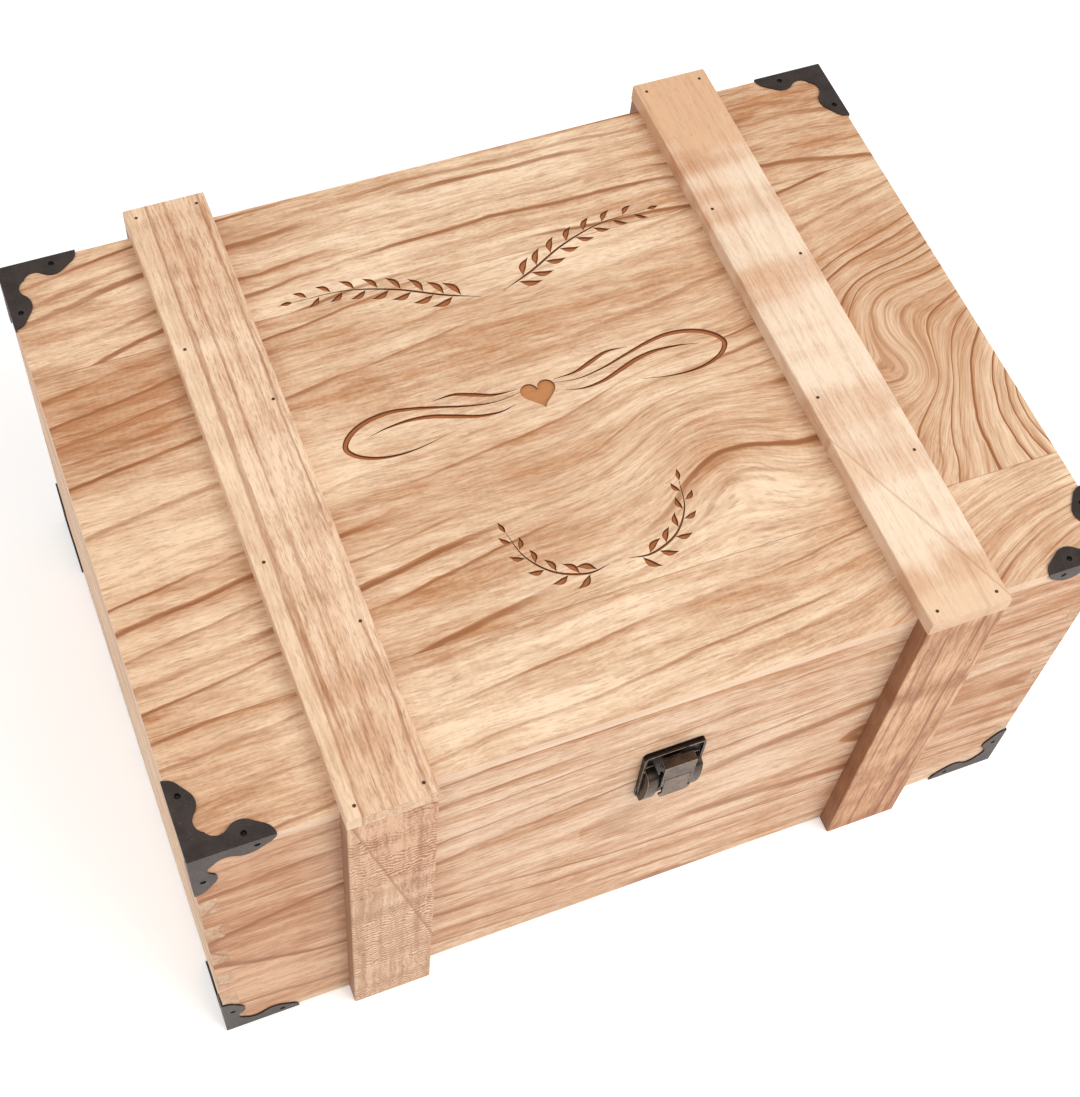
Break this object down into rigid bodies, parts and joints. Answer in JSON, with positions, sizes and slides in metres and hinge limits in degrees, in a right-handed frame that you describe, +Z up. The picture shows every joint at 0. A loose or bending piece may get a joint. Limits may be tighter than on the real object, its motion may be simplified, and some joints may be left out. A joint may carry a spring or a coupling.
{
  "type": "keepsake box",
  "caption": "Wooden keepsake box with a hinged lid, finger-jointed boards, straps round it, metal corner brackets and a toggle latch in front.",
  "frame": {"origin": "middle of the underside of the closed box's bounding box, on the surface it stands on", "axes": "+X to the right seen from the front, +Y from the latch to the hinges, +Z up"},
  "size_m": [0.3816, 0.292, 0.2048],
  "materials": {
    "panel_wood": "bare, sanded, flat",
    "board_wood": "bare, sanded, flat",
    "top_strap_wood": "bare, sanded, flat",
    "upright_strap_wood": "bare, sanded, flat",
    "strap_nail_steel": "dull grey",
    "bracket_nail_steel": "blackened",
    "bracket_steel": "dark grey, satin",
    "latch_plate_bronze": "dark antique bronze, satin",
    "latch_nail_bronze": "dark antique bronze",
    "latch_moving_bronze": "antique bronze, worn bright on the edges",
    "hinge_brass": "antique, satin",
    "hinge_screw_brass": "antique"
  },
  "bodies": {
    "base": {"base_bottom_panel": "panel_wood", "base_front_board": "board_wood", "base_back_board": "board_wood", "base_left_board": "board_wood", "base_right_board": "board_wood", "base_front_strap_left": "upright_strap_wood", "base_front_strap_right": "upright_strap_wood", "base_back_strap_left": "upright_strap_wood", "base_back_strap_right": "upright_strap_wood", "base_bracket_front_left": "bracket_steel", "base_bracket_front_right": "bracket_steel", "base_bracket_back_left": "bracket_steel", "base_bracket_back_right": "bracket_steel", "base_strap_nails": "strap_nail_steel", "base_bracket_nails": "bracket_nail_steel", "latch_base_plate": "latch_plate_bronze", "latch_plate_nails": "latch_nail_bronze", "latch_lever_pins": "latch_moving_bronze", "hinge_base_leaf_left": "hinge_brass", "hinge_base_leaf_right": "hinge_brass", "hinge_base_screws": "hinge_screw_brass", "hinge_pin_left": "hinge_brass", "hinge_pin_right": "hinge_brass"},
    "lid": {"lid_top_panel": "panel_wood", "lid_front_board": "board_wood", "lid_back_board": "board_wood", "lid_left_board": "board_wood", "lid_right_board": "board_wood", "lid_top_strap_left": "top_strap_wood", "lid_top_strap_right": "top_strap_wood", "lid_front_strap_left": "upright_strap_wood", "lid_front_strap_right": "upright_strap_wood", "lid_back_strap_left": "upright_strap_wood", "lid_back_strap_right": "upright_strap_wood", "lid_bracket_front_left": "bracket_steel", "lid_bracket_front_right": "bracket_steel", "lid_bracket_back_left": "bracket_steel", "lid_bracket_back_right": "bracket_steel", "lid_strap_nails": "strap_nail_steel", "lid_bracket_nails": "bracket_nail_steel", "catch_plate": "latch_plate_bronze", "catch_plate_nails": "latch_nail_bronze", "hinge_lid_leaf_left": "hinge_brass", "hinge_lid_leaf_right": "hinge_brass", "hinge_lid_screws": "hinge_screw_brass"},
    "latch_lever": {"latch_lever": "latch_moving_bronze", "latch_tongue_pin": "latch_moving_bronze"},
    "latch_tongue": {"latch_tongue": "latch_moving_bronze"}
  },
  "joints": [
    {"name": "lid_hinge", "type": "hinge", "parent": "base", "child": "lid", "pos_m": [0, 0.1405, 0.1408], "axis": [-1, 0, 0], "range_deg": [0, 100]},
    {"name": "lever_pivot", "type": "hinge", "parent": "base", "child": "latch_lever", "pos_m": [0.0025, -0.1429, 0.1368], "axis": [-1, 0, 0], "range_deg": [0, 100]},
    {"name": "tongue_pivot", "type": "hinge", "parent": "latch_lever", "child": "latch_tongue", "pos_m": [0.0025, -0.1435, 0.1296], "axis": [-1, 0, 0], "range_deg": [-100, 0]}
  ],
  "couplings": [
    {"joint": "tongue_pivot", "follows": "lever_pivot", "ratio": -1}
  ]
}
